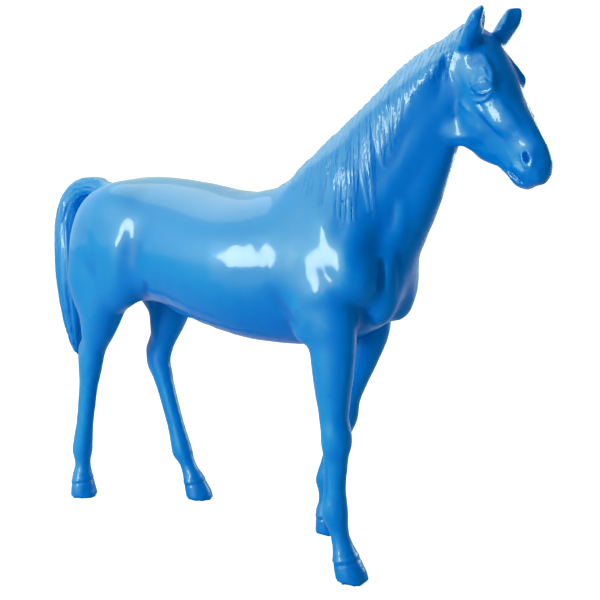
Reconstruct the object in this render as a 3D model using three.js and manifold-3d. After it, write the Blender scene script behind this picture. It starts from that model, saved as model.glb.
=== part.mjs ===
// A life-size horse cast in resin, walking, with all four hooves on the ground.
// Millimetres, +Z up, the head towards +X and the horse's left side towards +Y. The origin is on the
// ground, under the middle of the horse.
//
// The horse is one casting, so it is modelled as a sculptor builds up clay. Limbs (tapering, bent
// forms) and muscles (flattened eggs) are pressed onto each other and smoothed together in one soft
// field of distances, hollows are carved out of it, and the skin is drawn where the field is zero.
// The skin is then thinned to large triangles where it is flat and small ones where it is carved,
// and cut off level on the ground.
import * as THREE from "three";
import { mergeVertices } from "three/addons/utils/BufferGeometryUtils.js";
import Module from "manifold-3d";

// The driving size. Every length further down is a share of it: a number counts one 1450th of the
// height at the withers, which is a millimetre on the horse as it stands.
const WITHERS_HEIGHT = 1450;
const SHARE = WITHERS_HEIGHT / 1450;

// How finely the clay is worked, as a share of the height, and how many triangles the skin keeps.
const FINENESS = 11;
const TRIANGLES = 9400;

const COLOUR = 0x0a70c2;
const LEFT = 1;
const RIGHT = -1;

const point = (x, y, z) => new THREE.Vector3(x, y, z);
const ACROSS = point(0, 1, 0);

// The clay: a list of forms, each with its box, its depth below its own skin at a point, how softly
// it is smoothed into what is there already, and whether it is pressed on or carved out.
const clay = [];
const pressOn = (form, softness) => clay.push({ ...form, blend: softness * SHARE, carved: false });
const carveOut = (form, softness) => clay.push({ ...form, blend: softness * SHARE, carved: true });

// Distance to an ellipsoid's skin, close to true near the skin: p is measured along its three axes.
function eggDistance(a, b, c, ra, rb, rc) {
  const u = a / ra;
  const v = b / rb;
  const w = c / rc;
  const shares = Math.sqrt(u * u + v * v + w * w);
  const slope = Math.sqrt((u / ra) ** 2 + (v / rb) ** 2 + (w / rc) ** 2);
  return slope < 1e-9 ? -Math.min(ra, rb, rc) : (shares * (shares - 1)) / slope;
}

// A limb: a form that follows a smooth line through its stations. Each station is
// [x, y, z, front, back, side]. Seen along the line, front and back are its reach either way across
// the line, and side is its half width along the across direction.
function limb(stations, across = ACROSS) {
  const centres = stations.map((s) => point(s[0], s[1], s[2]).multiplyScalar(SHARE));
  const reaches = stations.map((s) => point(s[3], s[4], s[5]).multiplyScalar(SHARE));
  const line = new THREE.CatmullRomCurve3(centres, false, "centripetal");
  const sizes = new THREE.CatmullRomCurve3(reaches, false, "centripetal");
  const thinnest = Math.min(...stations.map((s) => Math.max(s[3], s[4], s[5])));
  const step = Math.max(thinnest / 3, 12) * SHARE;
  const steps = Math.max(stations.length - 1, Math.ceil(line.getLength() / step));
  const rings = [];
  const box = new THREE.Box3();
  for (let i = 0; i <= steps; i++) {
    const t = i / steps;
    const at = line.getPoint(t);
    const size = sizes.getPoint(t);
    const along = line.getTangent(t);
    const front = along.clone().cross(across).normalize();
    const side = front.clone().cross(along).normalize();
    rings.push({ at, size, along, front, side });
    const reach = Math.max(size.x, size.y, size.z);
    box.expandByPoint(at.clone().addScalar(reach));
    box.expandByPoint(at.clone().addScalar(-reach));
  }
  const rows = rings.slice(1).map((ring, i) => {
    const start = rings[i];
    const step3 = ring.at.clone().sub(start.at);
    return {
      ...start,
      step3,
      length2: step3.lengthSq(),
      grow: ring.size.clone().sub(start.size),
      turn: ring.front.clone().sub(start.front),
      round: Math.max(start.size.x, start.size.y, start.size.z, ring.size.x, ring.size.y, ring.size.z),
    };
  });
  const distance = (x, y, z) => {
    let nearest = Infinity;
    for (const row of rows) {
      const { at, step3, size, grow, front, turn, side, along } = row;
      const dx = x - at.x;
      const dy = y - at.y;
      const dz = z - at.z;
      const share = (dx * step3.x + dy * step3.y + dz * step3.z) / row.length2;
      const t = share < 0 ? 0 : share > 1 ? 1 : share;
      const ox = dx - t * step3.x;
      const oy = dy - t * step3.y;
      const oz = dz - t * step3.z;
      if (ox * ox + oy * oy + oz * oz > (nearest + row.round) ** 2) continue;
      const b = ox * (front.x + t * turn.x) + oy * (front.y + t * turn.y) + oz * (front.z + t * turn.z);
      const a = ox * side.x + oy * side.y + oz * side.z;
      const c = ox * along.x + oy * along.y + oz * along.z;
      const reach = b > 0 ? size.x + t * grow.x : size.y + t * grow.y;
      const wide = size.z + t * grow.z;
      const d = eggDistance(a, b, c, wide, reach, Math.min(wide, reach));
      if (d < nearest) nearest = d;
    }
    return nearest;
  };
  return { box, distance };
}

// A muscle: an egg from one end to the other, as wide and as thick as stated. Thickness is measured
// along out, the way it swells from the bone.
function muscle(from, to, width, thickness, out = ACROSS) {
  const centre = from.clone().add(to).multiplyScalar(SHARE / 2);
  const long = to.clone().sub(from).multiplyScalar(SHARE);
  const half = long.length() / 2;
  const wide = width * SHARE;
  const thick = thickness * SHARE;
  long.normalize();
  const swell = out.clone().addScaledVector(long, -out.dot(long)).normalize();
  const broad = long.clone().cross(swell);
  const reach = Math.max(half, wide, thick);
  const box = new THREE.Box3(centre.clone().addScalar(-reach), centre.clone().addScalar(reach));
  const distance = (x, y, z) => {
    const dx = x - centre.x;
    const dy = y - centre.y;
    const dz = z - centre.z;
    return eggDistance(
      dx * long.x + dy * long.y + dz * long.z,
      dx * broad.x + dy * broad.y + dz * broad.z,
      dx * swell.x + dy * swell.y + dz * swell.z,
      half,
      wide,
      thick,
    );
  };
  return { box, distance };
}

// The trunk, from the buttocks to the breast: [x, height of the widest line, top, bottom, side].
const TRUNK = [
  [-795, 1195, 120, 170, 120],
  [-720, 1190, 198, 235, 200],
  [-610, 1180, 243, 258, 252],
  [-500, 1168, 267, 262, 268],
  [-380, 1150, 280, 250, 258],
  [-250, 1130, 284, 256, 260],
  [-100, 1114, 275, 288, 272],
  [50, 1106, 272, 305, 275],
  [180, 1106, 290, 308, 258],
  [300, 1106, 312, 301, 232],
  [420, 1104, 296, 274, 205],
  [530, 1090, 235, 222, 172],
];
pressOn(limb(TRUNK.map(([x, z, top, bottom, side]) => [x, 0, z, top, bottom, side])), 1);

// The neck rises at 45 degrees from the chest to the poll and bends a little to the right on the way:
// [x, y, z, towards the crest, towards the throat, side].
const NECK = [
  [430, 0, 1180, 288, 292, 188],
  [493, 0, 1307, 262, 286, 164],
  [567, 0, 1405, 238, 268, 138],
  [625, 0, 1491, 210, 244, 116],
  [689, -1, 1574, 182, 212, 102],
  [730, -3, 1629, 166, 188, 95],
  [800, -8, 1715, 142, 149, 84],
  [862, -12, 1788, 102, 130, 76],
  [912, -18, 1842, 42, 104, 66],
];
pressOn(limb(NECK), 70);

// Each leg hangs from its joints, and the flesh on its four bones, from the top one down, is the same
// on both sides of the horse: [share of the way down the bone, front, back, side].
const HIND_FLESH = [
  [
    [0.0, 170, 170, 110],
    [0.5, 165, 165, 105],
  ],
  [
    [0.0, 110, 122, 90],
    [0.4, 84, 82, 70],
    [0.75, 58, 50, 48],
  ],
  [
    [0.0, 60, 56, 47],
    [0.13, 53, 52, 43],
    [0.3, 45, 45, 36],
    [0.7, 42, 44, 34],
  ],
  [
    [0.0, 46, 50, 42],
    [0.45, 37, 36, 34],
    [0.9, 44, 42, 41],
  ],
];
const FORE_FLESH = [
  [
    [0.0, 120, 140, 70],
    [0.6, 112, 118, 70],
  ],
  [
    [0.0, 97, 92, 62],
    [0.35, 80, 80, 56],
    [0.78, 56, 60, 46],
    [0.93, 66, 54, 50],
  ],
  [
    [0.05, 66, 54, 50],
    [0.22, 53, 45, 39],
    [0.6, 48, 42, 35],
    [0.85, 50, 44, 37],
  ],
  [
    [0.0, 55, 46, 43],
    [0.5, 37, 34, 34],
    [0.95, 44, 38, 42],
  ],
];
const HOOF_TOP = 78;
const LEGS = {
  right_fore: {
    side: RIGHT,
    flesh: FORE_FLESH,
    joints: [[470, 168, 1010], [500, 165, 860], [516, 160, 505], [514, 162, 238], [562, 165, HOOF_TOP]],
    toe: [592, 168],
  },
  left_fore: {
    side: LEFT,
    flesh: FORE_FLESH,
    joints: [[438, 160, 1010], [454, 160, 860], [349, 152, 492], [282, 150, 225], [280, 150, HOOF_TOP]],
    toe: [290, 150],
  },
  right_hind: {
    side: RIGHT,
    flesh: HIND_FLESH,
    joints: [[-640, 130, 1120], [-672, 150, 900], [-786, 130, 620], [-862, 126, 215], [-858, 138, HOOF_TOP]],
    toe: [-850, 142],
  },
  left_hind: {
    side: LEFT,
    flesh: HIND_FLESH,
    joints: [[-560, 130, 1120], [-551, 150, 900], [-624, 130, 605], [-488, 130, 205], [-428, 132, HOOF_TOP]],
    toe: [-398, 134],
  },
};
function makeLeg({ side, flesh, joints, toe }) {
  const at = joints.map(([x, y, z]) => point(x, side * y, z));
  const stations = flesh.flatMap((bone, i) =>
    bone.map(([share, ...reach]) => [...at[i].clone().lerp(at[i + 1], share).toArray(), ...reach]),
  );
  pressOn(limb(stations), 34);
  // The hoof: a cone that leans forward to the toe. It runs on below the ground, and is cut off level.
  const [x, y, z] = joints.at(-1);
  const hoof = [
    [x, side * y, z, 50, 44, 49],
    [(x + toe[0]) / 2, side * toe[1], z / 2, 58, 48, 55],
    [toe[0], side * toe[1], 0, 66, 53, 60],
    [toe[0], side * toe[1], -60, 76, 60, 66],
  ];
  pressOn(limb(hoof), 6);
  // The knob behind the fetlock.
  const fetlock = at[3].clone().add(point(-26, 0, 6));
  pressOn(muscle(fetlock, fetlock.clone().add(point(-6, 0, -44)), 22, 24), 22);
}
Object.values(LEGS).forEach(makeLeg);

// The ham, and the point of the hock with the tendon that runs down to it.
for (const { side, flesh, joints } of Object.values(LEGS)) {
  if (flesh !== HIND_FLESH) continue;
  const [stifle, hock] = [joints[1], joints[2]].map(([x, y, z]) => point(x, side * y, z));
  const ham = stifle.clone().lerp(hock, 0.25).add(point(-85, 0, 10));
  pressOn(muscle(point(-705, side * 130, 1330), ham, 98, 92), 50);
  const heel = hock.clone().add(point(-44, 0, 48));
  const tendon = stifle.clone().lerp(hock, 0.35).add(point(-58, 0, 0));
  pressOn(
    limb([
      [...tendon.toArray(), 34, 30, 26],
      [...tendon.clone().lerp(heel, 0.55).toArray(), 22, 22, 19],
      [...heel.toArray(), 27, 27, 25],
      [...hock.clone().add(point(-26, 0, -30)).toArray(), 26, 26, 26],
    ]),
    18,
  );
}

// The fold of skin under the flanks.
pressOn(muscle(point(-430, 0, 908), point(-210, 0, 868), 40, 34), 40);

// The muscles of the body, the same on both sides.
for (const side of [LEFT, RIGHT]) {
  const egg = (from, to, wide, thick) =>
    muscle(point(from[0], side * from[1], from[2]), point(to[0], side * to[1], to[2]), wide, thick);
  // Croup, thigh and stifle, and the hollow of the flank in front of them.
  pressOn(egg([-420, 150, 1330], [-760, 120, 1250], 110, 105), 60);
  pressOn(egg([-430, 165, 1270], [-575, 165, 890], 112, 95), 50);
  carveOut(egg([-330, 292, 1330], [-400, 280, 1010], 46, 38), 70);
  // Shoulder blade, upper arm and elbow, and the crease between the shoulder and the neck.
  pressOn(egg([300, 90, 1420], [590, 150, 1050], 120, 70), 50);
  pressOn(egg([330, 150, 1250], [450, 165, 900], 120, 75), 45);
  pressOn(egg([395, 150, 960], [420, 160, 840], 70, 66), 24);
  carveOut(egg([480, 234, 1390], [650, 232, 1150], 24, 34), 60);
  carveOut(egg([300, 264, 1010], [400, 252, 850], 26, 30), 46);
  // Point of the shoulder and breast, and the creases on either side of the breast.
  pressOn(egg([520, 120, 1210], [636, 130, 1010], 90, 75), 40);
  pressOn(egg([630, 58, 1250], [634, 62, 915], 84, 72), 22);
  carveOut(egg([690, 140, 1180], [672, 146, 1010], 13, 20), 30);
  // The groove of the throat.
  carveOut(egg([655, 160, 1200], [840, 98, 1530], 22, 20), 60);
}

// The head, turned to the right, tilted over to that side a little and dipped. It is measured from the
// poll: down the face, out towards the forehead, and to its own left.
const HEAD_TURN = THREE.MathUtils.degToRad(18.5);
const HEAD_TILT = THREE.MathUtils.degToRad(4.5);
const HEAD_DIP = THREE.MathUtils.degToRad(59.5);
const POLL = point(957, -19, 1905);
const ahead = point(Math.cos(HEAD_TURN), -Math.sin(HEAD_TURN), 0);
const headLeft = point(0, 0, 1).cross(ahead).applyAxisAngle(ahead, HEAD_TILT);
const upright = ahead.clone().cross(headLeft);
const downFace = ahead.clone().applyAxisAngle(headLeft, HEAD_DIP);
const outOfFace = downFace.clone().cross(headLeft);
const onHead = (down, out, left) =>
  POLL.clone().addScaledVector(downFace, down).addScaledVector(outOfFace, out).addScaledVector(headLeft, left);
const headStation = ([down, out, ...reach]) => [...onHead(down, out, 0).toArray(), ...reach];

// [down, out, towards the forehead, towards the jaw, side].
const SKULL = [
  [10, -50, 62, 90, 56],
  [80, -48, 86, 98, 76],
  [150, -48, 86, 106, 86],
  [210, -48, 84, 114, 86],
  [270, -50, 75, 116, 71],
  [330, -50, 76, 98, 58],
  [390, -48, 78, 82, 49],
  [450, -46, 80, 78, 47],
  [492, -40, 70, 66, 46],
];
// The flat of the forehead and of the nose.
const FACE = [
  [90, -12, 44, 40, 58],
  [160, -12, 46, 40, 74],
  [215, -12, 42, 40, 76],
  [270, -14, 38, 40, 60],
  [340, -14, 41, 40, 48],
  [400, -12, 44, 40, 42],
  [450, -10, 44, 40, 38],
];
const JAW = [
  [232, -126, 90, 52, 56],
  [272, -138, 90, 72, 58],
  [314, -134, 80, 83, 52],
  [360, -112, 66, 70, 44],
  [410, -94, 52, 54, 38],
  [455, -84, 42, 43, 36],
  [490, -76, 38, 38, 34],
];
pressOn(limb(SKULL.map(headStation), headLeft), 40);
pressOn(limb(FACE.map(headStation), headLeft), 12);
pressOn(limb(JAW.map(headStation), headLeft), 26);
// The throat, where the neck runs in behind the jaw.
pressOn(muscle(point(836, -14, 1650), point(950, -36, 1543), 42, 36), 24);
// The upper lip, and the lower lip and chin under it.
pressOn(muscle(onHead(426, -6, 0), onHead(550, -42, 0), 48, 46, headLeft), 14);
pressOn(muscle(onHead(438, -106, 0), onHead(538, -84, 0), 30, 35, headLeft), 10);
for (const side of [LEFT, RIGHT]) {
  const egg = (from, to, wide, thick) =>
    muscle(onHead(from[0], from[1], side * from[2]), onHead(to[0], to[1], side * to[2]), wide, thick, headLeft);
  // Cheek, ridge over the eye, hollow above it, eye, and the crest of bone below it.
  pressOn(egg([160, -92, 50], [326, -138, 44], 60, 34), 16);
  pressOn(egg([146, 8, 66], [238, -2, 74], 20, 21), 16);
  carveOut(egg([112, -8, 98], [164, -6, 104], 20, 14), 26);
  carveOut(egg([176, -17, 105], [228, -25, 108], 20, 14), 14);
  pressOn(egg([178, -17, 78], [226, -25, 80], 21, 21), 6);
  pressOn(egg([226, -52, 62], [372, -44, 40], 15, 22), 12);
  // Nostril, and the line of the mouth.
  pressOn(egg([438, 8, 34], [510, -32, 37], 23, 20), 12);
  carveOut(egg([456, -2, 62], [490, -26, 64], 12, 26), 6);
  carveOut(egg([450, -92, 50], [550, -62, 42], 8, 14), 10);
}

// An ear: a leaf rolled into a cup that opens forward.
function makeEar(side) {
  const ear = (forward, up, out) =>
    POLL.clone().addScaledVector(ahead, forward).addScaledVector(headLeft, side * out).addScaledVector(upright, up);
  const root = ear(24, -46, 71);
  const tip = ear(98, 55, 85);
  const shape = [
    [0, 34, 24, 32],
    [0.3, 34, 25, 35],
    [0.6, 33, 26, 39],
    [0.82, 25, 22, 32],
    [0.95, 14, 12, 18],
  ].map(([share, ...reach]) => [...root.clone().lerp(tip, share).toArray(), ...reach]);
  pressOn(limb(shape, headLeft), 12);
  const open = ahead.clone().multiplyScalar(30).addScaledVector(headLeft, side * -20);
  const cup = [0.42, 0.94].map((share) => root.clone().lerp(tip, share).add(open));
  carveOut(muscle(...cup, 22, 25, open), 12);
}
makeEar(LEFT);
makeEar(RIGHT);

// The hair is laid on what is there already: how far out the skin is at a place on one side.
function skinAt(x, z, side) {
  let inside = 0;
  let outside = 400;
  while (outside - inside > 1) {
    const middle = (inside + outside) / 2;
    const place = [x, side * middle, z].map((n) => n * SHARE);
    const within = clay.some((form) => !form.carved && form.distance(...place) < 0);
    if (within) inside = middle;
    else outside = middle;
  }
  return side * inside;
}

// The mane: locks that spring from the crest and hang down the right side of the neck. Each is
// [x at the crest, height there, how far it falls, half width].
const MANE = [
  [272, 1456, 110, 28],
  [318, 1512, 215, 36],
  [372, 1560, 310, 38],
  [426, 1604, 400, 38],
  [478, 1642, 455, 38],
  [528, 1680, 455, 36],
  [578, 1716, 400, 34],
  [626, 1752, 345, 34],
  [674, 1784, 300, 33],
  [722, 1814, 262, 32],
  [768, 1846, 225, 30],
  [812, 1862, 185, 28],
  [850, 1866, 135, 24],
];
for (const [x, top, fall, half] of MANE) {
  const stations = [];
  for (let i = 0; i <= 5; i++) {
    const share = i / 5;
    const z = top - 26 - fall * share;
    const sway = 12 * Math.sin(4 * share + x / 60) - 26 * share;
    const across = x + 14 * (1 - share) + sway;
    const thin = 1 - 0.75 * share ** 3;
    const at = i ? skinAt(across, z, RIGHT) : 0;
    stations.push([across, at, z, half * thin, half * thin, (i ? 15 : 22) * thin]);
  }
  pressOn(limb(stations), 6);
}

// The tail: carried out from the dock in an arch, then hanging to the hocks.
const TAIL = [
  [-740, 0, 1345, 40, 50, 46],
  [-800, 0, 1378, 44, 50, 46],
  [-868, 0, 1387, 46, 50, 48],
  [-942, 0, 1374, 52, 54, 52],
  [-1004, 0, 1324, 58, 62, 58],
  [-1034, 0, 1226, 66, 60, 64],
  [-1037, 0, 1110, 72, 60, 70],
  [-1035, 0, 980, 74, 60, 72],
  [-1027, 0, 860, 66, 56, 64],
  [-1021, 0, 750, 50, 46, 48],
  [-1018, 0, 650, 28, 26, 28],
  [-1014, 0, 600, 10, 12, 10],
];
pressOn(limb(TAIL.map(([x, y, z, ...reach]) => [x, y, z, ...reach.map((r) => 0.86 * r)])), 24);
const TAIL_LOCKS = 7;
for (let lock = 0; lock < TAIL_LOCKS; lock++) {
  const stations = TAIL.slice(3).map(([x, y, z, front, back, side], i) => {
    const angle = (2 * Math.PI * lock) / TAIL_LOCKS + 0.16 * i + 0.2 * Math.sin(i + lock);
    const reach = Math.cos(angle) > 0 ? front : back;
    const half = 0.44 * side * (i ? 1 : 0.7);
    return [x + 0.6 * reach * Math.cos(angle), 0.6 * side * Math.sin(angle), z, half, half, half];
  });
  pressOn(limb(stations), 5);
}

// The field: the clay's distance at every corner of a grid, forms pressed on or carved in order.
function workClay() {
  const cell = FINENESS * SHARE;
  const box = new THREE.Box3();
  clay.filter((form) => !form.carved).forEach((form) => box.union(form.box));
  box.expandByScalar(2 * cell);
  const low = box.min;
  const count = box.getSize(point()).divideScalar(cell).ceil().addScalar(1);
  const [nx, ny, nz] = count.toArray();
  const field = new Float32Array(nx * ny * nz).fill(1e6);
  for (const form of clay) {
    const margin = Math.max(form.blend, 2 * cell);
    const from = form.box.min.clone().subScalar(margin).sub(low).divideScalar(cell).floor();
    const to = form.box.max.clone().addScalar(margin).sub(low).divideScalar(cell).ceil();
    from.clamp(point(0, 0, 0), point(nx - 1, ny - 1, nz - 1));
    to.clamp(point(0, 0, 0), point(nx - 1, ny - 1, nz - 1));
    const sign = form.carved ? -1 : 1;
    for (let k = from.z; k <= to.z; k++) {
      for (let j = from.y; j <= to.y; j++) {
        for (let i = from.x; i <= to.x; i++) {
          const own = form.distance(low.x + i * cell, low.y + j * cell, low.z + k * cell);
          const at = i + nx * (j + ny * k);
          const there = sign * field[at];
          const near = Math.max(form.blend - Math.abs(there - own), 0);
          field[at] = sign * (Math.min(there, own) - (near * near) / (4 * form.blend));
        }
      }
    }
  }
  partFolds({ field, nx, ny });
  return { field, low, cell, nx, ny, nz };
}

// Where two folds of skin would touch along an edge, the shallowest grid corner there changes sides,
// so that the skin is one clean surface everywhere.
function partFolds({ field, nx, ny }) {
  const strides = [1, nx, nx * ny, 1];
  let folded = true;
  while (folded) {
    folded = false;
    for (let axis = 0; axis < 3; axis++) {
      const [u, v] = [strides[axis], strides[axis + 1]];
      for (let at = 0; at < field.length - u - v; at++) {
        const inside = field[at] < 0;
        if (inside !== field[at + u + v] < 0) continue;
        if (inside === field[at + u] < 0 || inside === field[at + v] < 0) continue;
        const ring = [at, at + u, at + v, at + u + v];
        const shallow = ring.sort((a, b) => Math.abs(field[a]) - Math.abs(field[b]))[0];
        field[shallow] = (field[shallow] < 0 ? 0.5 : -0.5) * SHARE;
        folded = true;
      }
    }
  }
}

// The skin: one corner in each cell that the skin passes through, and a square across each grid edge
// that it crosses, as two triangles.
function drawSkin({ field, low, cell, nx, ny, nz }) {
  const corners = [];
  const squares = [];
  const cornerOf = new Int32Array(field.length).fill(-1);
  const strides = [1, nx, nx * ny];
  const edges = [];
  for (let a = 0; a < 8; a++) {
    for (let axis = 0; axis < 3; axis++) {
      const b = a | (1 << axis);
      if (b !== a) edges.push([a, b]);
    }
  }
  const offset = (corner) =>
    (corner & 1) * strides[0] + ((corner >> 1) & 1) * strides[1] + ((corner >> 2) & 1) * strides[2];
  for (let at = 0; at < field.length - nx * ny; at++) {
    const [i, j, k] = [at % nx, Math.floor(at / nx) % ny, Math.floor(at / (nx * ny))];
    if (i === nx - 1 || j === ny - 1) continue;
    const sum = [0, 0, 0];
    let crossings = 0;
    for (const [a, b] of edges) {
      const fa = field[at + offset(a)];
      const fb = field[at + offset(b)];
      if (fa < 0 === fb < 0) continue;
      const t = fa / (fa - fb);
      for (let axis = 0; axis < 3; axis++) {
        const start = (a >> axis) & 1;
        sum[axis] += start + t * (((b >> axis) & 1) - start);
      }
      crossings++;
    }
    if (!crossings) continue;
    cornerOf[at] = corners.length / 3;
    corners.push(
      low.x + cell * (i + sum[0] / crossings),
      low.y + cell * (j + sum[1] / crossings),
      low.z + cell * (k + sum[2] / crossings),
    );
  }
  for (let at = nx * ny + nx + 1; at < field.length - nx * ny; at++) {
    for (let axis = 0; axis < 3; axis++) {
      const inside = field[at] < 0;
      if (inside === field[at + strides[axis]] < 0) continue;
      const u = strides[(axis + 1) % 3];
      const v = strides[(axis + 2) % 3];
      const ring = [at - u - v, at - v, at, at - u].map((n) => cornerOf[n]);
      squares.push(inside ? ring : ring.reverse());
    }
  }
  const triangles = squares.flatMap(([a, b, c, d]) => [[a, b, c], [a, c, d]]);
  return { corners, triangles };
}

// How far a corner strays from the flat faces it has stood for: a quadric of ten numbers.
function planeQuadric(normal, point0, weight) {
  const { x, y, z } = normal;
  const w = -normal.dot(point0);
  return [x * x, x * y, x * z, x * w, y * y, y * z, y * w, z * z, z * w, w * w].map((n) => n * weight);
}
function strayed(q, p) {
  const { x, y, z } = p;
  const alongX = x * (q[0] * x + 2 * (q[1] * y + q[2] * z + q[3]));
  const alongY = y * (q[4] * y + 2 * (q[5] * z + q[6]));
  const alongZ = z * (q[7] * z + 2 * q[8]);
  return alongX + alongY + alongZ + q[9];
}
function bestPlace(q, a, b) {
  const places = [a.clone().add(b).multiplyScalar(0.5), a.clone(), b.clone()];
  const m = new THREE.Matrix3().set(q[0], q[1], q[2], q[1], q[4], q[5], q[2], q[5], q[7]);
  if (Math.abs(m.determinant()) > 1e-7 * (q[0] + q[4] + q[7]) ** 3) {
    const solved = point(-q[3], -q[6], -q[8]).applyMatrix3(m.invert());
    if (solved.distanceTo(places[0]) < 2 * a.distanceTo(b)) places.unshift(solved);
  }
  return places.map((p) => [strayed(q, p), p]).sort((u, v) => u[0] - v[0])[0];
}

// The face is worked more finely than the body: how much a stray there counts.
function worth(place) {
  const { x, z } = place.clone().divideScalar(SHARE);
  if (x > 880 && z > 1380) return 9;
  return z < 700 ? 2 : 1;
}

// Thinning: round after round, the edges whose closing up strays least are closed to one corner,
// until only the wanted number of triangles is left.
function thinOut({ corners, triangles }, wanted) {
  const at = [];
  for (let i = 0; i < corners.length; i += 3) {
    at.push(point(corners[i], corners[i + 1], corners[i + 2]));
  }
  const quadric = at.map(() => new Array(10).fill(0));
  const turned = (a, b, c) => b.clone().sub(a).cross(c.clone().sub(a));
  for (const triangle of triangles) {
    const [a, b, c] = triangle.map((n) => at[n]);
    const normal = turned(a, b, c);
    const area = normal.length();
    normal.normalize();
    const own = planeQuadric(normal, a, area);
    for (const n of triangle) quadric[n] = quadric[n].map((value, i) => value + own[i]);
  }
  const evenness = 1e-4 * SHARE ** 2;
  let left = triangles;
  while (left.length > wanted) {
    const around = at.map(() => []);
    for (const triangle of left) {
      for (const n of triangle) around[n].push(triangle);
    }
    const edges = [];
    for (const [a, b, c] of left) {
      for (const [u, v] of [[a, b], [b, c], [c, a]]) {
        if (u > v) continue;
        const q = quadric[u].map((value, i) => value + quadric[v][i]);
        const [cost, place] = bestPlace(q, at[u], at[v]);
        const length2 = at[u].distanceToSquared(at[v]);
        edges.push({ u, v, q, place, cost: worth(place) * (cost + evenness * length2) });
      }
    }
    edges.sort((e, f) => e.cost - f.cost);
    const touched = new Uint8Array(at.length);
    const rank = around.map((list) => list.length);
    const gone = new Set();
    const most = Math.min(left.length - wanted, Math.ceil(left.length / 5));
    const neighbours = (n) => new Set(around[n].flat());
    for (const { u, v, q, place } of edges) {
      if (gone.size >= most) break;
      if (touched[u] || touched[v]) continue;
      const beside = neighbours(v);
      const shared = [...neighbours(u)].filter((n) => n !== u && n !== v && beside.has(n));
      if (shared.length !== 2 || shared.some((n) => rank[n] < 4)) continue;
      const kept = [...around[u], ...around[v]].filter((t) => !(t.includes(u) && t.includes(v)));
      const flips = kept.some((t) => {
        const before = turned(...t.map((n) => at[n]));
        const after = turned(...t.map((n) => (n === u || n === v ? place : at[n])));
        const sliver = after.length() < SHARE ** 2;
        return sliver || before.dot(after) < 0.3 * before.length() * after.length();
      });
      if (flips) continue;
      for (const t of [...around[u], ...around[v]]) {
        for (const n of t) touched[n] = 1;
        if (t.includes(u) && t.includes(v)) gone.add(t);
      }
      for (const n of shared) rank[n]--;
      at[u] = place;
      quadric[u] = q;
      for (const t of around[v]) t[t.indexOf(v)] = u;
    }
    if (!gone.size) break;
    left = left.filter((t) => !gone.has(t));
  }
  return { at, triangles: left };
}

const wasm = await Module();
wasm.setup();
function solidOf(geometry) {
  const bare = new THREE.BufferGeometry().setAttribute("position", geometry.getAttribute("position"));
  bare.setIndex(geometry.index);
  const merged = mergeVertices(bare, 1e-3);
  return new wasm.Manifold(
    new wasm.Mesh({
      numProp: 3,
      vertProperties: merged.attributes.position.array,
      triVerts: new Uint32Array(merged.index.array),
    }),
  );
}

// The horse: its thinned skin, cut off level on the ground, and moved so that the origin is under
// the middle of it.
function castHorse() {
  const { at, triangles } = thinOut(drawSkin(workClay()), TRIANGLES);
  const skin = new THREE.BufferGeometry().setFromPoints(at).setIndex(triangles.flat());
  const room = 4 * WITHERS_HEIGHT;
  const above = new THREE.BoxGeometry(room, room, room).translate(0, 0, room / 2);
  const { vertProperties, triVerts } = solidOf(skin).intersect(solidOf(above)).getMesh();
  const geometry = new THREE.BufferGeometry();
  geometry.setAttribute("position", new THREE.BufferAttribute(new Float32Array(vertProperties), 3));
  geometry.setIndex(new THREE.BufferAttribute(new Uint32Array(triVerts), 1));
  geometry.computeBoundingBox();
  const middle = geometry.boundingBox.getCenter(point());
  geometry.translate(-middle.x, -middle.y, 0);
  return geometry;
}

const horse = new THREE.Mesh(
  castHorse(),
  new THREE.MeshStandardMaterial({ color: COLOUR, roughness: 0.12, metalness: 0 }),
);
horse.name = "horse";
const sculpture = new THREE.Group();
sculpture.add(horse);

export default sculpture;
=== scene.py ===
import bpy
import numpy as np
from math import cos, pi, radians, sin
from mathutils import Matrix, Vector
from mathutils.bvhtree import BVHTree


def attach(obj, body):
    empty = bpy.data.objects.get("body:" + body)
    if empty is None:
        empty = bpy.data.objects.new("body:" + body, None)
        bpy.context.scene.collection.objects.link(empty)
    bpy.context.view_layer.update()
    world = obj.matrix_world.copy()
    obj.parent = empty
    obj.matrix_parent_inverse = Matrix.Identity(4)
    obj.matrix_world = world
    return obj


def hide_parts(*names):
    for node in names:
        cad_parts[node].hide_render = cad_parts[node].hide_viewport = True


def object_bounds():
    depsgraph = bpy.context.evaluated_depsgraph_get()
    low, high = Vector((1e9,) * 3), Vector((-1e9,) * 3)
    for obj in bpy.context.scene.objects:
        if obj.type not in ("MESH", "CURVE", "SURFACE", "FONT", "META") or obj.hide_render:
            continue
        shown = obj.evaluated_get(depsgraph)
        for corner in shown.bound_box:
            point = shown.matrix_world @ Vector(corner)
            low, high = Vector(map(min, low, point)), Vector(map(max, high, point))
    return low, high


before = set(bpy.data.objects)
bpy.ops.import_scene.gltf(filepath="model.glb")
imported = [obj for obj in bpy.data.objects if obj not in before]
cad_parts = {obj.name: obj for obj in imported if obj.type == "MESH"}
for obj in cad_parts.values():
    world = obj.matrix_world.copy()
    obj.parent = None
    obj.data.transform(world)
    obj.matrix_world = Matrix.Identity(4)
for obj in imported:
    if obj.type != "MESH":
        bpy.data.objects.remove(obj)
cad_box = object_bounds()

# The horse: one hollow shell cast in glass-fibre resin from a model that was worked in clay. It starts
# as a copy of the solid, whose flat facets are worked over to one smooth skin of small even squares,
# smaller ones where the face, the hair and the hooves are carved.
FINE_GRAIN, BODY_GRAIN = 0.005, 0.0142
# Below this height the soles are left flat.
SOLE = 0.002
# How far a smoothing pass lets the skin out again: all the way, less far on the ears, least on the flank.
KEEP_FORM, ROUND_EARS, SOFTEN_FLANK = -0.55, -0.3, -0.2


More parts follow.
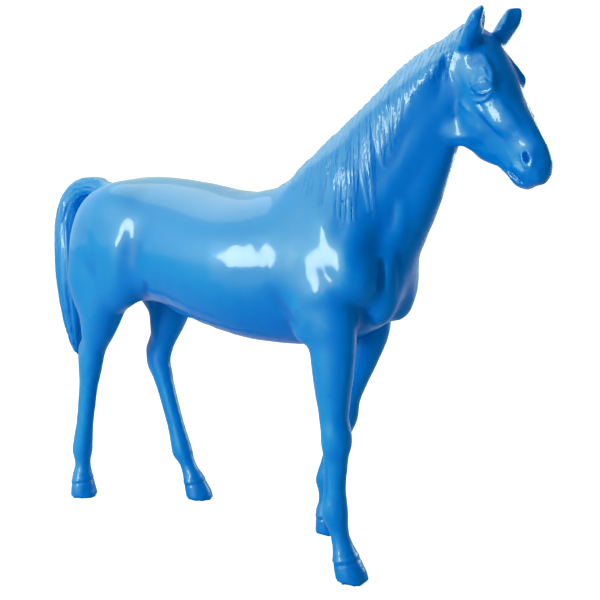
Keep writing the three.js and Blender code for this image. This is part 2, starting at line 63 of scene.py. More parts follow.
def clay_copy(name, grain):
    """A copy of the horse's solid as a closed skin of even squares."""
    bpy.ops.object.select_all(action="DESELECT")
    copy = bpy.data.objects.new(name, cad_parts["horse"].data.copy())
    bpy.context.collection.objects.link(copy)
    copy.select_set(True)
    bpy.context.view_layer.objects.active = copy
    copy.data.materials.clear()
    bpy.ops.object.mode_set(mode="EDIT")
    bpy.ops.mesh.select_all(action="SELECT")
    bpy.ops.mesh.remove_doubles(threshold=1e-5)
    bpy.ops.object.mode_set(mode="OBJECT")
    clay = copy.modifiers.new("clay", "REMESH")
    clay.mode = "VOXEL"
    clay.voxel_size = grain
    bpy.ops.object.modifier_apply(modifier="clay")
    return copy


def corners_of(mesh):
    places = np.empty(len(mesh.vertices) * 3)
    mesh.vertices.foreach_get("co", places)
    return places.reshape(-1, 3)


def put_corners(mesh, places):
    mesh.vertices.foreach_set("co", places.ravel())
    mesh.update()


def normals_of(mesh):
    out = np.empty(len(mesh.vertices) * 3)
    mesh.vertex_normals.foreach_get("vector", out)
    return out.reshape(-1, 3)


def middles(mesh, places):
    """For each corner, the middle of the corners that it shares an edge with."""
    ends = np.empty(len(mesh.edges) * 2, dtype=np.int64)
    mesh.edges.foreach_get("vertices", ends)
    a, b = ends.reshape(-1, 2).T
    count = len(places)
    around = np.bincount(ends, minlength=count)
    sums = [np.bincount(a, places[b, i], count) + np.bincount(b, places[a, i], count) for i in range(3)]
    return np.stack(sums, 1) / around[:, None]


def work_smooth(mesh, strength, passes, let_out=KEEP_FORM):
    """Evens the skin out: each pass presses it in and lets it out again, which keeps it from thinning.
    A weaker let_out softens the form under it as well."""
    places = corners_of(mesh)
    for _ in range(passes):
        for press in (0.52, let_out):
            places += press * strength[:, None] * (middles(mesh, places) - places)
    put_corners(mesh, places)


def ramp(value, start, end):
    """0 before start, 1 after end, and a smooth rise between them."""
    share = np.clip((value - start) / (end - start), 0, 1)
    return share * share * (3 - 2 * share)


def quarter(piece, chosen):
    """Cuts the faces whose corners are all chosen into four."""
    mesh = piece.data
    corners = np.empty(len(mesh.loops), dtype=np.int64)
    mesh.loops.foreach_get("vertex_index", corners)
    starts = np.empty(len(mesh.polygons), dtype=np.int64)
    mesh.polygons.foreach_get("loop_start", starts)
    picked = np.minimum.reduceat(chosen[corners], starts)
    bpy.ops.object.mode_set(mode="EDIT")
    bpy.ops.mesh.select_mode(type="FACE")
    bpy.ops.mesh.select_all(action="DESELECT")
    bpy.ops.object.mode_set(mode="OBJECT")
    mesh.polygons.foreach_set("select", picked)
    bpy.ops.object.mode_set(mode="EDIT")
    bpy.ops.mesh.subdivide(number_cuts=1, ngon=False)
    bpy.ops.object.mode_set(mode="OBJECT")


def face_part(x, y, z):
    return ramp(x, 0.76, 0.82) * ramp(z, 1.36, 1.46)


def feet_part(x, y, z):
    return 1 - ramp(z, 0.1, 0.16)


# The head is measured from the poll, in millimetres: down the face, out towards the forehead, and to
# the horse's own left. It is turned to the right, tilted over to that side and dipped.
HEAD_TURN, HEAD_TILT, HEAD_DIP = radians(18.5), radians(4.5), radians(59.5)
POLL = np.array((0.8919, -0.01895, 1.905))
ahead = np.array((cos(HEAD_TURN), -sin(HEAD_TURN), 0))
head_left = np.array((sin(HEAD_TURN) * cos(HEAD_TILT), cos(HEAD_TURN) * cos(HEAD_TILT), sin(HEAD_TILT)))
upright = np.cross(ahead, head_left)
down_face = ahead * cos(HEAD_DIP) - upright * sin(HEAD_DIP)
out_of_face = np.cross(down_face, head_left)
HEAD_AXES = np.stack([down_face, out_of_face, head_left])


def on_head(points):
    return POLL + np.array(points, dtype=float) @ HEAD_AXES / 1000


def head_places(places):
    return (places - POLL) @ HEAD_AXES.T * 1000


# The mane laid out flat: along the horse, and down the fall of the hair over the top of the crest.
CREST = np.array([(0.13, 1.405), (0.235, 1.49), (0.335, 1.568), (0.435, 1.648), (0.535, 1.731),
                  (0.635, 1.811), (0.735, 1.863), (0.795, 1.893), (0.86, 1.925)])
MANE_EDGE = np.array([(0.1, 1.31), (0.224, 1.316), (0.295, 1.303), (0.37, 1.269), (0.434, 1.23),
                      (0.49, 1.2), (0.549, 1.2), (0.59, 1.25), (0.6, 1.36), (0.612, 1.406),
                      (0.645, 1.456), (0.672, 1.536), (0.692, 1.584), (0.717, 1.631), (0.745, 1.65),
                      (0.8, 1.657), (0.83, 1.68), (0.86, 1.7)])


def mane_chart(x, y, z):
    return np.stack([x, z - 0.8 * np.clip(0.02 - y, 0, 0.11)], 1)


def mane_part(x, y, z, margin=0.0):
    chart = mane_chart(x, y, z)
    lowest = np.interp(x, *MANE_EDGE.T)
    over = (chart[:, 1] > lowest - margin) & (x > 0.12 - margin) & (x < 0.86) & (y < 0.04 + margin)
    return over & (z > 1.2)


# The tail laid out flat: down its middle line, and round it.
TAIL_LINE = np.array([(-0.805, 1.345), (-0.865, 1.378), (-0.933, 1.387), (-1.007, 1.374), (-1.069, 1.324),
                      (-1.099, 1.226), (-1.102, 1.11), (-1.1, 0.98), (-1.092, 0.86), (-1.086, 0.75),
                      (-1.083, 0.65), (-1.079, 0.6)])
TAIL_REACH = np.array([46, 47, 48, 53, 60, 65, 70, 71, 64, 49, 28, 10]) / 1000


def tail_chart(x, y, z):
    """How far down the tail, the angle round it, and how many of its half widths from its middle."""
    down, angle, near = (np.full(len(x), 9.0) for _ in range(3))
    start = 0
    for a, b, reach_a, reach_b in zip(TAIL_LINE, TAIL_LINE[1:], TAIL_REACH, TAIL_REACH[1:]):
        step = b - a
        length = np.hypot(*step)
        share = np.clip(((x - a[0]) * step[0] + (z - a[1]) * step[1]) / length**2, 0, 1)
        off_x, off_z = x - a[0] - share * step[0], z - a[1] - share * step[1]
        rear = (off_x * step[1] - off_z * step[0]) / length
        gap = np.sqrt(off_x**2 + off_z**2 + y**2) / (reach_a + share * (reach_b - reach_a))
        closer = gap < near
        near[closer] = gap[closer]
        down[closer] = (start + share * length)[closer]
        angle[closer] = np.arctan2(y, rear)[closer]
        start += length
    return down, angle, near


def tail_part(x, y, z):
    down, angle, near = tail_chart(x, y, z)
    return (near < 1.5) & (x < -0.86) & (z > 0.58) & ((x < -0.99) | (z > 1.33))


fine = clay_copy("fine_clay", FINE_GRAIN)
x, y, z = corners_of(fine.data).T
work_smooth(fine.data, 1.0 * (z > SOLE), 14)
fine_skin = BVHTree.FromPolygons(
    [v.co.copy() for v in fine.data.vertices], [tuple(p.vertices) for p in fine.data.polygons]
)
bpy.data.objects.remove(fine)

casting = clay_copy("horse_casting", BODY_GRAIN)
skin = casting.data
x, y, z = corners_of(skin).T
plain = (1 - face_part(x, y, z)) * (1 - 0.6 * feet_part(x, y, z)) * (z > SOLE)
work_smooth(skin, plain, 18)
shoulder = ramp(x, 0.15, 0.28) * (1 - ramp(x, 0.56, 0.66)) * ramp(z, 0.9, 1.02) * ramp(np.abs(y), 0.08, 0.13)
work_smooth(skin, plain * np.maximum(mane_part(x, y, z, 0.03), shoulder), 60)
flank = ramp(x, -0.66, -0.54) * (1 - ramp(x, -0.38, -0.28)) * ramp(z, 0.92, 1.02)
work_smooth(skin, flank * ramp(np.abs(y), 0.08, 0.13), 22, SOFTEN_FLANK)


def settle(piece, weight):
    """Presses the chosen part of the skin onto the finely worked one."""
    places = corners_of(piece.data)
    for n in np.flatnonzero(weight > 0.01):
        spot = fine_skin.find_nearest(Vector(places[n]))[0]
        places[n] += weight[n] * (np.array(spot) - places[n])
    put_corners(piece.data, places)


def hair_or_face(places):
    x, y, z = places.T
    return mane_part(x, y, z, 0.01) | tail_part(x, y, z) | (face_part(x, y, z) > 0.4) | (z < 0.11)


quarter(casting, hair_or_face(corners_of(skin)))
x, y, z = corners_of(skin).T
work_smooth(skin, 1.0 * (z > SOLE), 3)
x, y, z = corners_of(skin).T
settle(casting, np.maximum(face_part(x, y, z), feet_part(x, y, z) * (z > 0.004)))


def fine_face(places):
    """Round the eyes, the nostrils, the mouth and the ears."""
    down, out, left = head_places(places).T
    side = np.abs(left)
    eye = np.hypot(down - 202, out + 21) < 62
    nose = np.hypot(down - 468, out + 14) < 36
    mouth = (down > 432) & (np.abs(out + 86) < 26)
    ear = (down < 60) & (out > -10)
    return (eye & (side > 60)) | (nose & (side > 22)) | mouth | ear


x, y, z = corners_of(skin).T
quarter(casting, mane_part(x, y, z) | fine_face(corners_of(skin)) & (face_part(x, y, z) > 0.5))
x, y, z = corners_of(skin).T
work_smooth(skin, 1.0 * (z > SOLE), 3)
settle(casting, fine_face(corners_of(skin)) * face_part(x, y, z))
x, y, z = corners_of(skin).T
down, out, left = head_places(corners_of(skin)).T
ears = ramp(down, 20, -10) * face_part(x, y, z)
throat = ramp(out, -105, -150) * ramp(down, 300, 250) * (x > 0.7) * (z > 1.4)
poll = mane_part(x, y, z, 0.03) * (x > 0.68) * ramp(down, 60, 20)
work_smooth(skin, np.maximum(np.maximum(ears, throat), poll), 45)
work_smooth(skin, np.maximum(ears, throat), 12, ROUND_EARS)
bpy.ops.object.shade_smooth()
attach(casting, "root")
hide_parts("horse")

# The face, cut into the clay with a modelling tool: lids round the eyes with wrinkles at their rear
# corners, the ridges of the brow and the cheek bone, the nostrils, and the line of the mouth.


def curve_through(points, spacing=0.004):
    """Closely spaced points on a smooth curve through the given ones."""
    points = np.array(points, dtype=float)
    rows = np.concatenate([[2 * points[0] - points[1]], points, [2 * points[-1] - points[-2]]])
    out = []
    for a, b, c, d in zip(rows, rows[1:], rows[2:], rows[3:]):
        for t in np.arange(0, 1, spacing / max(np.linalg.norm(c - b), spacing)):
            bend = (2 * a - 5 * b + 4 * c - d) * t * t + (3 * b - a - 3 * c + d) * t**3
            out.append(b + 0.5 * ((c - a) * t + bend))
    return np.array(out + [points[-1]])


def stroke(lift, places, points, half, height, tip=0.3):
    """Raises the clay along a line on the skin, or cuts it where the height is negative."""
    line = curve_through([fine_skin.find_nearest(Vector(p))[0] for p in points])
    near = np.flatnonzero(((places > line.min(0) - half) & (places < line.max(0) + half)).all(1))
    here = places[near]
    nearest = np.full(len(near), 9.0)
    at = np.zeros(len(near))
    for k, spot in enumerate(line):
        gap = np.linalg.norm(here - spot, axis=1)
        closer = gap < nearest
        nearest[closer], at[closer] = gap[closer], k / max(len(line) - 1, 1)
    ends = ramp(at, 0, tip) * (1 - ramp(at, 1 - tip, 1)) if tip else 1
    lift[near] += height * ends * np.clip(1 - (nearest / half) ** 2, 0, 1) ** 2


MM = 0.001
FACE_STROKES = [
    # points, half width, height, and the share of each end that fades out, 0.3 where not given:
    # ridges of the brow, round the eye, the nose and the cheek bone
    ([(80, 14, 52), (135, 18, 58), (176, 23, 66), (208, 18, 74), (240, 4, 72)], 12, 6.5),
    ([(214, -76, 84), (232, -50, 84), (240, -22, 80), (232, 4, 78)], 10, 4.5),
    ([(240, 2, 70), (292, 1, 53), (340, 7, 43), (383, 7, 41)], 12, 3.5),
    ([(212, -78, 84), (253, -67, 79), (286, -62, 71), (325, -54, 65), (358, -46, 58)], 13, 5),
    # the flat below the eye, with a hollow along it, and hollows over the eye and under the cheek bone
    ([(235, -32, 76), (300, -24, 62), (370, -12, 46), (410, -10, 42)], 46, 12, 0.45),
    ([(256, -36, 76), (292, -32, 66), (330, -26, 58)], 16, -1.5),
    ([(96, 2, 66), (128, -8, 76)], 30, -2.5),
    ([(236, -96, 82), (282, -124, 74), (306, -168, 60)], 26, -2.5),
    # the rear edge of the jowl
    ([(176, -130, 77), (205, -114, 79), (244, -102, 81)], 12, 3),
    # the corner of the upper lip and the lower lip
    ([(446, -72, 47), (476, -56, 48), (508, -40, 47)], 20, 7),
    ([(458, -112, 38), (492, -104, 34)], 12, 3.5),
]
EYE_WRINKLES = [
    ([(160, -52, 86), (172, -42, 88)], 5, 3),
    ([(178, -58, 86), (188, -46, 88)], 5, 3),
    ([(192, -66, 86), (202, -54, 87)], 5, 3),
]
MOUTH = [(446, -103, 42), (470, -95, 40), (494, -85, 36), (512, -79, 32), (524, -75, 24)]

places = corners_of(skin)
lift = np.zeros(len(places))
for side in (1, -1):
    for points, half, height, *tip in FACE_STROKES + EYE_WRINKLES:
        line = on_head([(down, out, side * left) for down, out, left in points])
        stroke(lift, places, line, half * MM, height * MM, *tip)
    line = on_head([(down, out, side * left) for down, out, left in MOUTH])
    stroke(lift, places, line, 7 * MM, -5.5 * MM, 0.25)
places += normals_of(skin) * lift[:, None]

# Eyes and nostrils are worked straight out of the side of the head: a shallow ball between two lids,
# turned a little forward, and a pit with a rim round it.
EYE = (202, -21)
EYE_FORWARD = np.array((0.61, 0.79))
BALL, BALL_TOP = 150, 93
EYE_HALF, UPPER_LID, LOWER_LID = 38, 20, 15
NOSTRIL = (461, -13)
down, out, left = head_places(places).T
for side in (1, -1):
    this_side = side * left > 20
    along = (down - EYE[0]) * EYE_FORWARD[0] + (out - EYE[1]) * EYE_FORWARD[1]
    upward = (out - EYE[1]) * EYE_FORWARD[0] - (down - EYE[0]) * EYE_FORWARD[1]
    half = np.where(upward > 0, UPPER_LID, LOWER_LID)
    opening = half * np.clip(1 - (along / EYE_HALF) ** 2, 0.05, 1) ** 0.7
    past_corner = np.clip(np.abs(along) / EYE_HALF - 0.95, 0, 9)
    lid = np.abs(upward) / opening + 0.4 * past_corner * 8
    ball = BALL_TOP - BALL + np.sqrt(np.clip(BALL**2 - along**2 - upward**2, 0, None))
    ball -= 0.3 * (down - EYE[0]) + 0.05 * (out - EYE[1])
    inside = this_side * (1 - ramp(lid, 0.85, 1.15)) * (1 - ramp(np.abs(along), 35, 40))
    rim = 2.2 * np.exp(-(((lid - 1.28) / 0.26) ** 2)) * (1 - ramp(np.abs(along), 32, 44))
    crease = ramp(upward, 2, 10) * (1 - ramp(np.abs(along), 24, 38))
    crease *= -1.8 * np.exp(-(((lid - 1.75) / 0.22) ** 2))
    push = side * (rim + crease) * this_side + inside * (side * ball - left)
    across_hole, up_hole = down - NOSTRIL[0], out - NOSTRIL[1] + 0.012 * (down - NOSTRIL[0]) ** 2
    reach = np.hypot(0.72 * across_hole + 0.3 * up_hole, 1.05 * up_hole) / 12.5
    pit = -16 * np.clip(1 - reach**2, 0, 1) ** 0.7
    front = 0.35 + 0.65 * ramp(across_hole + up_hole, -6, 14)
    flare = 3.2 * front * np.exp(-(((reach - 1.42) / 0.32) ** 2))
    push += side * (pit + flare) * this_side * (np.abs(across_hole) < 50)
    places += push[:, None] * head_left * MM
put_corners(skin, places)

# The hair: long locks modelled one over another, each with a few strands scored into it. The mane
# falls from the crest down the right side of the neck, and the tail from the dock to the hocks.
chance = np.random.default_rng(7)


def comb(chart, locks):
    """How far each lock lifts the skin, and how far across and along a lock each corner lies."""
    lift, across, along = (np.zeros(len(chart)) for _ in range(3))
    for number, (line, half, height, strands) in enumerate(locks):
        low, high = line.min(0) - half.max(), line.max(0) + half.max()
        near = np.flatnonzero(((chart > low) & (chart < high)).all(1))
        here = chart[near]
        gap, side, travel, tall = np.full(len(near), 9.0), *(np.zeros(len(near)) for _ in range(3))
        travelled = 0
        for k in range(len(line) - 1):
            step = line[k + 1] - line[k]
            length = np.hypot(*step)
            share = np.clip((here - line[k]) @ step / length**2, 0, 1)
            off = here - line[k] - share[:, None] * step
            width = half[k] + share * (half[k + 1] - half[k])
            apart = np.hypot(*off.T) / width
            closer = apart < gap
            gap[closer] = apart[closer]
            side[closer] = (apart * np.sign(off[:, 0] * step[1] - off[:, 1] * step[0]))[closer]
            travel[closer] = (travelled + share * length)[closer]
            tall[closer] = (height[k] + share * (height[k + 1] - height[k]))[closer]
            travelled += length
        scored = 1 + 0.13 * np.cos(pi * strands * side + 9 * travel)
        scored = scored + 0.07 * np.cos(pi * 2.3 * strands * side)
        raised = tall * np.clip(1 - gap**2, 0, 1) ** 0.5 * scored
        over = raised > lift[near]
        lift[near[over]] = raised[over]
        across[near[over]] = (number * 0.37 + side * half.max())[over]
        along[near[over]] = (number * 0.21 + travel)[over]
    return lift, across, along


def lock_of(start, end, sway, half, height, strands, bow=0.0, thinning=0.88):
    """A lock from its root to its tip: it swells, bows and sways, and thins out towards the tip."""
    share = np.linspace(0, 1, 13)[:, None]
    line = start + (end - start) * share
    normal = np.array((end[1] - start[1], start[0] - end[0])) / np.hypot(*(end - start))
    wave = bow * share * (1 - share) * 4 + sway * np.sin(2 * pi * (1.1 * share + strands / 7)) * share
    line = line + wave * normal
    share = share[:, 0]
    thin = 1 - thinning * ramp(share, 0.6, 1)
    width = half * (0.8 + 0.2 * np.sin(pi * share)) * thin
    return line, width, height * ramp(share, -0.05, 0.12) * thin**0.6, strands


# Which way the hair leans as it falls, by the place of its root.
LEAN = np.array([(0.13, 0.03), (0.3, 0.0), (0.4, 0.03), (0.5, 0.07), (0.56, 0.055), (0.65, 0.01),
                 (0.86, -0.012)])
MANE_LAYERS = (
    # share of the whole fall, spacing of the roots, half width, height
    (1, 0.017, 0.019, 0.005),
    (0.84, 0.024, 0.0165, 0.006),
    (0.56, 0.026, 0.016, 0.0066),
)
MANE_THINNING = 0.7
mane_locks = []
for share, spacing, half, height in MANE_LAYERS:
    for root in np.arange(0.12, 0.85, spacing):
        root += chance.uniform(-0.4, 0.4) * spacing
        top = np.interp(root, *CREST.T)
        length = share * chance.uniform(0.95, 1.07)
        tip = root + np.interp(root, *LEAN.T) * length + chance.uniform(-0.012, 0.012)
        bottom = top + (np.interp(tip, *MANE_EDGE.T) - top) * length
        start, end = np.array((root, top + 0.01)), np.array((tip, bottom))
        sway, bow = chance.uniform(-0.006, 0.006), chance.uniform(-0.008, 0.01)
        strands = chance.uniform(2, 3.4)
        mane_locks.append(lock_of(start, end, sway, half, height, strands, bow, MANE_THINNING))

places = corners_of(skin)
x, y, z = places.T
chart = mane_chart(x, y, z)
mane_lift, mane_across, mane_along = comb(chart, mane_locks)
mane_fade = (1 - ramp(y, 0.012, 0.034)) * (z > 1.15) * (x > 0.08)
mane_lift *= mane_fade

# The tail is laid out flat on its mean radius.
AROUND, TAIL_END = 0.065, 1.19
TAIL_LAYERS = (
    # locks round the tail, place of the highest root, length, half width, height
    (11, 0.16, 0.86, 0.024, 0.0075),
    (13, 0.02, 0.6, 0.019, 0.0085),
    (10, 0.34, 0.7, 0.02, 0.009),
)
tail_locks = []
for count, start_at, length, half, height in TAIL_LAYERS:
    for number in range(count):
        angle = 2 * pi * (number + chance.uniform(-0.25, 0.25)) / count
        begin = start_at + chance.uniform(0, 0.12)
        end = min(begin + length * chance.uniform(0.75, 1.05), TAIL_END)
        twist = chance.uniform(0.1, 0.5)
        sway = chance.uniform(-0.01, 0.01)
        strands = chance.uniform(2, 3.4)
        for turn in (-2 * pi, 0, 2 * pi):
            start = np.array(((angle + turn) * AROUND, begin))
            finish = np.array(((angle + turn + twist) * AROUND, end))
            tail_locks.append(lock_of(start, finish, sway, half, height, strands))

tail_down, tail_angle, tail_near = tail_chart(x, y, z)
chart = np.stack([tail_angle * AROUND, tail_down], 1)
tail_lift, tail_across, tail_along = comb(chart, tail_locks)
tail_fade = tail_part(x, y, z) * (1 - ramp(x, -0.9, -0.84)) * (1 - ramp(tail_near, 1.2, 1.45))
tail_lift *= tail_fade

combed = (mane_lift > 0.0004) | (tail_lift > 0.0004)
BETWEEN_LOCKS = 0.002
lift = mane_lift + tail_lift - BETWEEN_LOCKS * ramp(mane_lift + tail_lift, 0, 0.003)
places += normals_of(skin) * lift[:, None]
put_corners(skin, places)

# The body's last touches: the front edge of the shoulder, the creases of the breast, the flank and
# the elbow, the tendons down the legs, and the coronet over each hoof. All four stand flat.
BODY_STROKES = [
    # points on the right side, half width, height
    ([(480, -176, 1300), (540, -178, 1235), (566, -190, 1152), (540, -204, 1050)], 96, 8),
    ([(300, -238, 1010), (340, -238, 960), (378, -232, 905)], 46, 3),
    ([(603, -122, 1175), (609, -124, 1116), (603, -125, 1040)], 22, -7),
    ([(655, -84, 1205), (653, -71, 1121), (644, -65, 1010)], 20, -4),
    ([(628, -110, 1150), (628, -110, 1106), (622, -108, 1040)], 20, 4),
    ([(668, -92, 1380), (664, -92, 1300), (655, -91, 1226)], 34, 5),
    ([(-430, -235, 1215), (-474, -241, 1104), (-540, -235, 985)], 60, -1.5),
    ([(-400, -215, 1040), (-440, -190, 985), (-470, -150, 940)], 24, -5),
]
LEGS = [
    # knee or hock, fetlock, and coronet, each (x, y) at its height
    [((451, -160, 505), (449, -162, 238)), (497, -165)],
    [((284, 152, 492), (217, 150, 225)), (215, 150)],
    [((-851, -130, 620), (-927, -126, 215)), (-923, -138)],
    [((-689, 130, 605), (-553, 130, 205)), (-493, 132)],
]
CORONET, TOE_RISE, HOOF_REACH = 0.074, 0.28, 0.11
places = corners_of(skin)
lift = np.zeros(len(places))
for side in (1, -1):
    for points, half, height in BODY_STROKES:
        line = np.array([(x, side * y, z) for x, y, z in points]) * MM
        stroke(lift, places, line, half * MM, height * MM)
# The ribs flatten behind the shoulder, and the shoulder blade stands up from them towards its front.
x, y, z = places.T
ribs = 6.5 * ramp(x, 0.11, 0.24) - 5 * ramp(x, -0.06, 0.1)
blade = 18 * ramp(x, 0.31, 0.47) - 18 * ramp(x, 0.5, 0.62)
lift += (ribs + blade) * MM * ramp(z, 0.98, 1.08) * (1 - ramp(z, 1.28, 1.42)) * ramp(np.abs(y), 0.08, 0.14)
for (upper, lower), (hoof_x, hoof_y) in LEGS:
    upper, lower = np.array(upper), np.array(lower)
    for side in (30, -30):
        line = [upper + (lower - upper) * share + (-16, side, 0) for share in (0.2, 0.45, 0.7, 0.92)]
        stroke(lift, places, np.array(line) * MM, 13 * MM, -3.6 * MM)
    near_hoof = np.hypot(places[:, 0] - (hoof_x + 12) * MM, places[:, 1] - hoof_y * MM) < HOOF_REACH
    over_coronet = places[:, 2] - CORONET - TOE_RISE * (places[:, 0] - hoof_x * MM)
    band = 0.0022 * np.exp(-((over_coronet / 0.007) ** 2))
    band -= 0.0016 * np.exp(-(((over_coronet + 0.012) / 0.006) ** 2))
    wall = 0.00045 * np.sin(over_coronet / 0.0021) * (1 - ramp(over_coronet, -0.02, -0.012))
    wall *= ramp(places[:, 2], 0.004, 0.012)
    lift += near_hoof * (band + wall)
places += normals_of(skin) * lift[:, None]
places[:, 2] = np.clip(places[:, 2], 0, None)
low, high = (np.array(corner) for corner in cad_box)
put_corners(skin, np.clip(places, low, high))

# How hollow or how raised the skin is at each corner, for the paint: it is darkened in the hollows as
# painted shade, and made a little paler on the ridges.
places = corners_of(skin)
bend = places.copy()
for _ in range(3):
    bend += 0.5 * (middles(skin, bend) - bend)
hollow = ((bend - places) * normals_of(skin)).sum(1)
for name, values in (("hollow", np.clip(hollow / 0.0012, -1, 1)), ("combed", 1.0 * combed)):
    layer = skin.attributes.new(name, "FLOAT", "POINT")
    layer.data.foreach_set("value", values.astype(np.float32))
layer = skin.attributes.new("strand", "FLOAT_VECTOR", "POINT")
on_tail = tail_lift > 0
across, along = np.where(on_tail, tail_across, mane_across), np.where(on_tail, tail_along, mane_along)
strand = np.stack([across, along, np.zeros(len(across))], 1)
layer.data.foreach_set("vector", strand.astype(np.float32).ravel())

# The paint: a thick, glossy blue sprayed on in several coats over the resin. Its colour is darkened a little
# in the hollows as painted shade, made paler on the ridges, and has the faint waves and orange peel of
# spraying by hand.
# The deep blue is painted shade in the hollows, and also the darker patches of the uneven coats; the palest
# blue goes on the ridges.
DEEP_BLUE, BLUE, RIDGE_BLUE = (0.0005, 0.1, 0.4, 1), (0.0015, 0.162, 0.54, 1), (0.01, 0.21, 0.6, 1)
paint = bpy.data.materials.new("blue_gloss_paint")
paint.use_nodes = True
nodes, links = paint.node_tree.nodes, paint.node_tree.links
shader = nodes["Principled BSDF"]
shader.inputs["Specular IOR Level"].default_value = 0.7
shader.inputs["Specular Tint"].default_value = (0.8, 1, 1, 1)
shader.inputs["Coat Roughness"].default_value = 0.09
shader.inputs["Coat IOR"].default_value = 1.38


def number(kind, a, b, clamp=False):
    """A Math node: a and b are sockets or plain numbers."""
    node = nodes.new("ShaderNodeMath")
    node.operation = kind
    node.use_clamp = clamp
    for socket, value in zip(node.inputs, (a, b)):
        if isinstance(value, bpy.types.NodeSocket):
            links.new(value, socket)
        else:
            socket.default_value = value
    return node.outputs["Value"]


def spread(value, low, high, to_low, to_high):
    node = nodes.new("ShaderNodeMapRange")
    for name, amount in (("From Min", low), ("From Max", high), ("To Min", to_low), ("To Max", to_high)):
        node.inputs[name].default_value = amount
    links.new(value, node.inputs["Value"])
    return node.outputs["Result"]


def blended(share, first, second):
    node = nodes.new("ShaderNodeMix")
    node.data_type = "RGBA"
    links.new(share, node.inputs["Factor"])
    for socket, colour in ((node.inputs["A"], first), (node.inputs["B"], second)):
        if isinstance(colour, bpy.types.NodeSocket):
            links.new(colour, socket)
        else:
            socket.default_value = colour
    return node.outputs["Result"]


def noise(coordinates, scale, detail=2.0):
    node = nodes.new("ShaderNodeTexNoise")
    node.inputs["Scale"].default_value = scale
    node.inputs["Detail"].default_value = detail
    links.new(coordinates, node.inputs["Vector"])
    return node.outputs["Fac"]


def attribute(name):
    node = nodes.new("ShaderNodeAttribute")
    node.attribute_name = name
    return node


on_horse = nodes.new("ShaderNodeTexCoord").outputs["Object"]
coats = noise(on_horse, 2.4, 3)
mist = noise(on_horse, 38, 3)
dips = attribute("hollow").outputs["Fac"]
# Painted shade: the colour moves towards the deep blue in the hollows, plus some uneven tone from the coats.
hollow_shade_and_coats = number("ADD", spread(dips, 0.05, 0.8, 0, 0.85), spread(coats, 0.35, 0.65, 0, 0.16), True)
# Paler towards the palest blue on the raised ridges, in patches.
paler_on_ridges = number("MULTIPLY", spread(dips, -0.15, -0.9, 0, 0.6), spread(mist, 0.3, 0.7, 0.4, 1), True)
links.new(blended(paler_on_ridges, blended(hollow_shade_and_coats, BLUE, DEEP_BLUE), RIDGE_BLUE), shader.inputs["Base Color"])
links.new(spread(number("ADD", coats, mist, False), 0.7, 1.3, 0.44, 0.54), shader.inputs["Roughness"])
links.new(spread(mist, 0.3, 0.7, 0.46, 0.56), shader.inputs["Coat Weight"])

# Strands: thin stripes that run along each lock of hair.
strands = nodes.new("ShaderNodeMapping")
strands.inputs["Scale"].default_value = (300, 5, 1)
links.new(attribute("strand").outputs["Vector"], strands.inputs["Vector"])
hair_depth = number("MULTIPLY", noise(strands.outputs["Vector"], 1, 1), attribute("combed").outputs["Fac"])
depth = number("MULTIPLY", hair_depth, 0.0008)
depth = number("ADD", depth, number("MULTIPLY", noise(on_horse, 7, 1), 0.0016))
depth = number("ADD", depth, number("MULTIPLY", noise(on_horse, 130, 1), 0.00005))
relief = nodes.new("ShaderNodeBump")
relief.inputs["Strength"].default_value = 1
relief.inputs["Distance"].default_value = 1
links.new(depth, relief.inputs["Height"])
links.new(relief.outputs["Normal"], shader.inputs["Normal"])
casting.data.materials.append(paint)

# The pale studio floor that the horse stands on: white to the camera, and dimmer in what it sends up
# to the horse.
bpy.ops.object.select_all(action="DESELECT")
bpy.ops.mesh.primitive_plane_add(size=60, location=(0, 0, -0.0005))
floor = bpy.context.object
floor.name = "studio_floor"
pale = bpy.data.materials.new("pale_floor")
pale.use_nodes = True
nodes, links = pale.node_tree.nodes, pale.node_tree.links
nodes.clear()
seen, dim = (nodes.new("ShaderNodeBsdfDiffuse") for _ in range(2))
glow = nodes.new("ShaderNodeEmission")
seen.inputs["Color"].default_value = (0.8, 0.8, 0.8, 1)
dim.inputs["Color"].default_value = (0.42, 0.45, 0.48, 1)
glow.inputs["Strength"].default_value = 0.66
both, chosen = nodes.new("ShaderNodeAddShader"), nodes.new("ShaderNodeMixShader")
output = nodes.new("ShaderNodeOutputMaterial")
links.new(seen.outputs[0], both.inputs[0])
links.new(glow.outputs[0], both.inputs[1])
links.new(nodes.new("ShaderNodeLightPath").outputs["Is Camera Ray"], chosen.inputs["Fac"])
links.new(dim.outputs[0], chosen.inputs[1])
links.new(both.outputs[0], chosen.inputs[2])
links.new(chosen.outputs[0], output.inputs["Surface"])
floor.data.materials.append(pale)

# The camera stands at the right front, as high as the horse's back, and looks a little down.
camera_data = bpy.data.cameras.new("camera")
camera = bpy.data.objects.new("camera", camera_data)
bpy.context.collection.objects.link(camera)
PLACE, YAW, DIP, LENS = (2.08655, -2.73947, 1.4558), 0.606483, 0.144943, 52.86
forward = Vector((-sin(YAW) * cos(DIP), cos(YAW) * cos(DIP), -sin(DIP)))
right = forward.cross(Vector((0, 0, 1))).normalized()
upward = right.cross(forward)
turn = Matrix((right, upward, -forward)).transposed().to_4x4()
camera.matrix_world = Matrix.Translation(PLACE) @ turn
camera_data.sensor_width = 36
camera_data.lens = LENS
bpy.context.scene.camera = camera

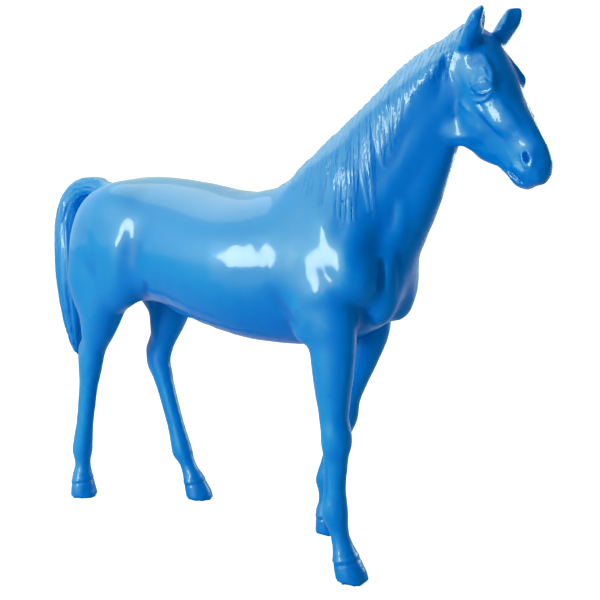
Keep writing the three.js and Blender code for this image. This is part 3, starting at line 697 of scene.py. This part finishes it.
# Soft studio light: a white backdrop that is bright to the left of the picture and leaves the horse's
# front in shade, with a tall box at the left, a wide one overhead, and one behind that rims the head.
world = bpy.data.worlds.new("room")
bpy.context.scene.world = world
world.use_nodes = True
nodes, links = world.node_tree.nodes, world.node_tree.links
nodes.clear()
backdrop, light = (nodes.new("ShaderNodeBackground") for _ in range(2))
chosen = nodes.new("ShaderNodeMixShader")
light.inputs["Color"].default_value = (0.85, 0.95, 1, 1)
facing = nodes.new("ShaderNodeVectorMath")
facing.operation = "DOT_PRODUCT"
facing.inputs[1].default_value = (-0.9, -0.1, 0.42)
links.new(nodes.new("ShaderNodeTexCoord").outputs["Generated"], facing.inputs[0])
fall_off = nodes.new("ShaderNodeMapRange")
fall_off.interpolation_type = "SMOOTHSTEP"
for name, amount in (("From Min", -0.25), ("From Max", 0.75), ("To Min", 0.32), ("To Max", 1.05)):
    fall_off.inputs[name].default_value = amount
links.new(facing.outputs["Value"], fall_off.inputs["Value"])
links.new(fall_off.outputs["Result"], light.inputs["Strength"])
links.new(nodes.new("ShaderNodeLightPath").outputs["Is Camera Ray"], chosen.inputs["Fac"])
links.new(light.outputs[0], chosen.inputs[1])
links.new(backdrop.outputs[0], chosen.inputs[2])
links.new(chosen.outputs[0], nodes.new("ShaderNodeOutputWorld").inputs["Surface"])
backdrop.inputs["Color"].default_value = (1, 1, 1, 1)
backdrop.inputs["Strength"].default_value = 1.3


def soft_box(name, place, aim, width, height, power, colour, shape="RECTANGLE"):
    data = bpy.data.lights.new(name, "AREA")
    data.shape = shape
    data.size, data.size_y, data.energy, data.color = width, height, power, colour
    lamp = bpy.data.objects.new(name, data)
    bpy.context.collection.objects.link(lamp)
    lamp.location = place
    lamp.rotation_euler = (Vector(aim) - Vector(place)).to_track_quat("-Z", "Y").to_euler()


soft_box("key_box", (-1.55, -4.3, 2.05), (0, 0, 1.1), 0.85, 2.5, 165, (0.86, 0.96, 1), "ELLIPSE")
soft_box("top_box", (-1.6, 0.2, 4.4), (-0.2, 0, 1.2), 3.6, 3.2, 56, (1, 1, 0.86), "ELLIPSE")
soft_box("rim_box", (1.8, 4.4, 1.7), (0.4, 0, 1.2), 2.6, 2.4, 90, (0.9, 1, 1))

# The picture is developed as a studio photograph is: shades of blue deepen, bright ones go to cyan.
view = bpy.context.scene.view_settings
view.view_transform = "Standard"
view.use_curve_mapping = True
curves = view.curve_mapping
curves.initialize()
RED = ((0.03, 0.004), (0.1, 0.095), (0.3, 0.32))
GREEN = ((0.1, 0.092), (0.2, 0.195), (0.3, 0.345), (0.6, 0.67))
BLUE_TONE = ((0.3, 0.33), (0.5, 0.54), (0.7, 0.655), (0.9, 0.77))
for curve, bends in zip(curves.curves, (RED, GREEN, BLUE_TONE)):
    for bend_at in bends:
        curve.points.new(*bend_at)
curves.update()
